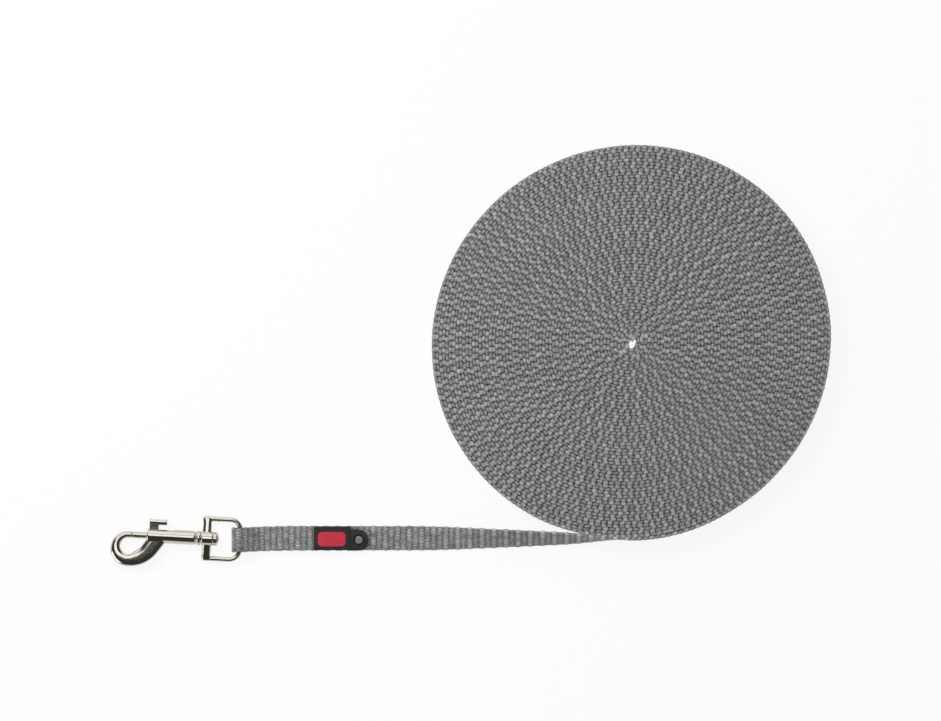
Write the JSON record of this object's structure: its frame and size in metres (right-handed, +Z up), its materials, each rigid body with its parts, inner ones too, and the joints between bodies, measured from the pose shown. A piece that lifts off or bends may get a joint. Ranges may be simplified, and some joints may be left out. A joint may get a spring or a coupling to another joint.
{
  "type": "training leash",
  "caption": "Long flat webbing training leash wound on edge into a flat round coil, with a sewn end, a swivel eye and a spring bolt snap hook that clips to a collar ring.",
  "frame": {"origin": "middle of the part's footprint, on the surface that the leash lies on", "axes": "+X from the hook towards the coil, +Y from the free strap towards the far side of the coil, +Z up from the surface"},
  "size_m": [0.2869, 0.1676, 0.0101],
  "materials": {
    "webbing": "grey ribbed polyester webbing, woven",
    "thread": "light grey sewing thread",
    "label": "black woven label",
    "patch": "red woven field",
    "label_thread": "black sewing thread",
    "tab": "matt black rubber",
    "rivet": "grey satin",
    "nickel": "nickel-plated zinc die casting, polished",
    "spring_steel": "drawn spring wire"
  },
  "bodies": {
    "strap": {"strap_coil": "webbing", "strap_run": "webbing", "strap_end": "webbing", "eye_bartack": "thread", "tail_bartack": "thread", "label_band": "label", "label_patch": "patch", "label_stitching": "label_thread", "size_tab": "tab", "rivet_cap": "rivet", "rivet_post": "rivet"},
    "eye": {"swivel_eye": "nickel"},
    "hook": {"hook_body": "nickel", "swivel_pin": "nickel", "return_spring": "spring_steel"},
    "bolt": {"bolt": "nickel", "thumb_stud": "nickel"}
  },
  "joints": [
    {"name": "eye_swing", "type": "hinge", "parent": "strap", "child": "eye", "pos_m": [-0.09151, -0.0734, 0.00305], "axis": [0.0523, 0.9986, 0], "range_deg": [0, 150]},
    {"name": "hook_swivel", "type": "hinge", "parent": "eye", "child": "hook", "pos_m": [-0.10489, -0.07269, 0.00305], "axis": [-0.9986, 0.0523, 0], "continuous": true},
    {"name": "bolt_slide", "type": "slide", "parent": "hook", "child": "bolt", "axis": [0.9986, -0.0523, 0], "range_m": [0, 0.006], "stiffness_N_per_m": 400, "springref_m": -0.006, "deforming": ["return_spring"]}
  ]
}
